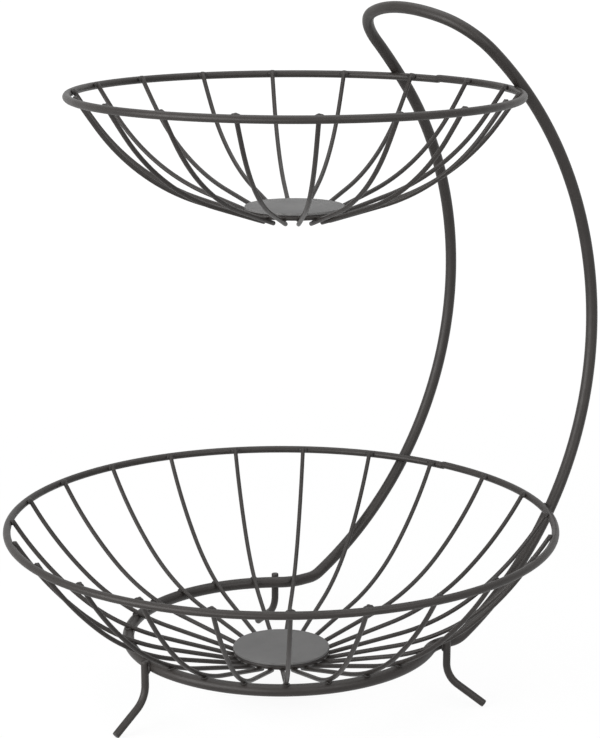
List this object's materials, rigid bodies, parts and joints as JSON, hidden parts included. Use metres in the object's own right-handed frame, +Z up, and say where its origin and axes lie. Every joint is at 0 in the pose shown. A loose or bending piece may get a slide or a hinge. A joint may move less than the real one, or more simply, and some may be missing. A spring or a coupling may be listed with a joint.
{
  "type": "tiered wire basket",
  "caption": "Two-tier round wire basket: a wide lower bowl and a smaller upper bowl of curved spokes, held by one bent rod that forms the base ring, the rear uprights and the carrying handle.",
  "frame": {"origin": "on the floor under the three feet, in the middle of the footprint box", "axes": "+Z up, +Y to the rear where the two uprights stand, +X to the right seen from the front"},
  "size_m": [0.305, 0.3288, 0.3802],
  "materials": {
    "coated_wire": "satin",
    "coated_plate": "satin"
  },
  "bodies": {
    "root": {"frame_rod": "coated_wire", "lower_rim": "coated_wire", "upper_rim": "coated_wire", "lower_disc": "coated_plate", "upper_disc": "coated_plate", "lower_hub_ring": "coated_wire", "upper_hub_ring": "coated_wire", "front_foot": "coated_wire", "right_foot": "coated_wire", "left_foot": "coated_wire", "lower_spoke_01": "coated_wire", "lower_spoke_02": "coated_wire", "lower_spoke_03": "coated_wire", "lower_spoke_04": "coated_wire", "lower_spoke_05": "coated_wire", "lower_spoke_06": "coated_wire", "lower_spoke_07": "coated_wire", "lower_spoke_08": "coated_wire", "lower_spoke_09": "coated_wire", "lower_spoke_10": "coated_wire", "lower_spoke_11": "coated_wire", "lower_spoke_12": "coated_wire", "lower_spoke_13": "coated_wire", "lower_spoke_14": "coated_wire", "lower_spoke_15": "coated_wire", "lower_spoke_16": "coated_wire", "lower_spoke_17": "coated_wire", "lower_spoke_18": "coated_wire", "lower_spoke_19": "coated_wire", "lower_spoke_20": "coated_wire", "lower_spoke_21": "coated_wire", "lower_spoke_22": "coated_wire", "lower_spoke_23": "coated_wire", "upper_spoke_01": "coated_wire", "upper_spoke_02": "coated_wire", "upper_spoke_03": "coated_wire", "upper_spoke_04": "coated_wire", "upper_spoke_05": "coated_wire", "upper_spoke_06": "coated_wire", "upper_spoke_07": "coated_wire", "upper_spoke_08": "coated_wire", "upper_spoke_09": "coated_wire", "upper_spoke_10": "coated_wire", "upper_spoke_11": "coated_wire", "upper_spoke_12": "coated_wire", "upper_spoke_13": "coated_wire", "upper_spoke_14": "coated_wire", "upper_spoke_15": "coated_wire", "upper_spoke_16": "coated_wire", "upper_spoke_17": "coated_wire", "upper_spoke_18": "coated_wire"}
  },
  "joints": []
}
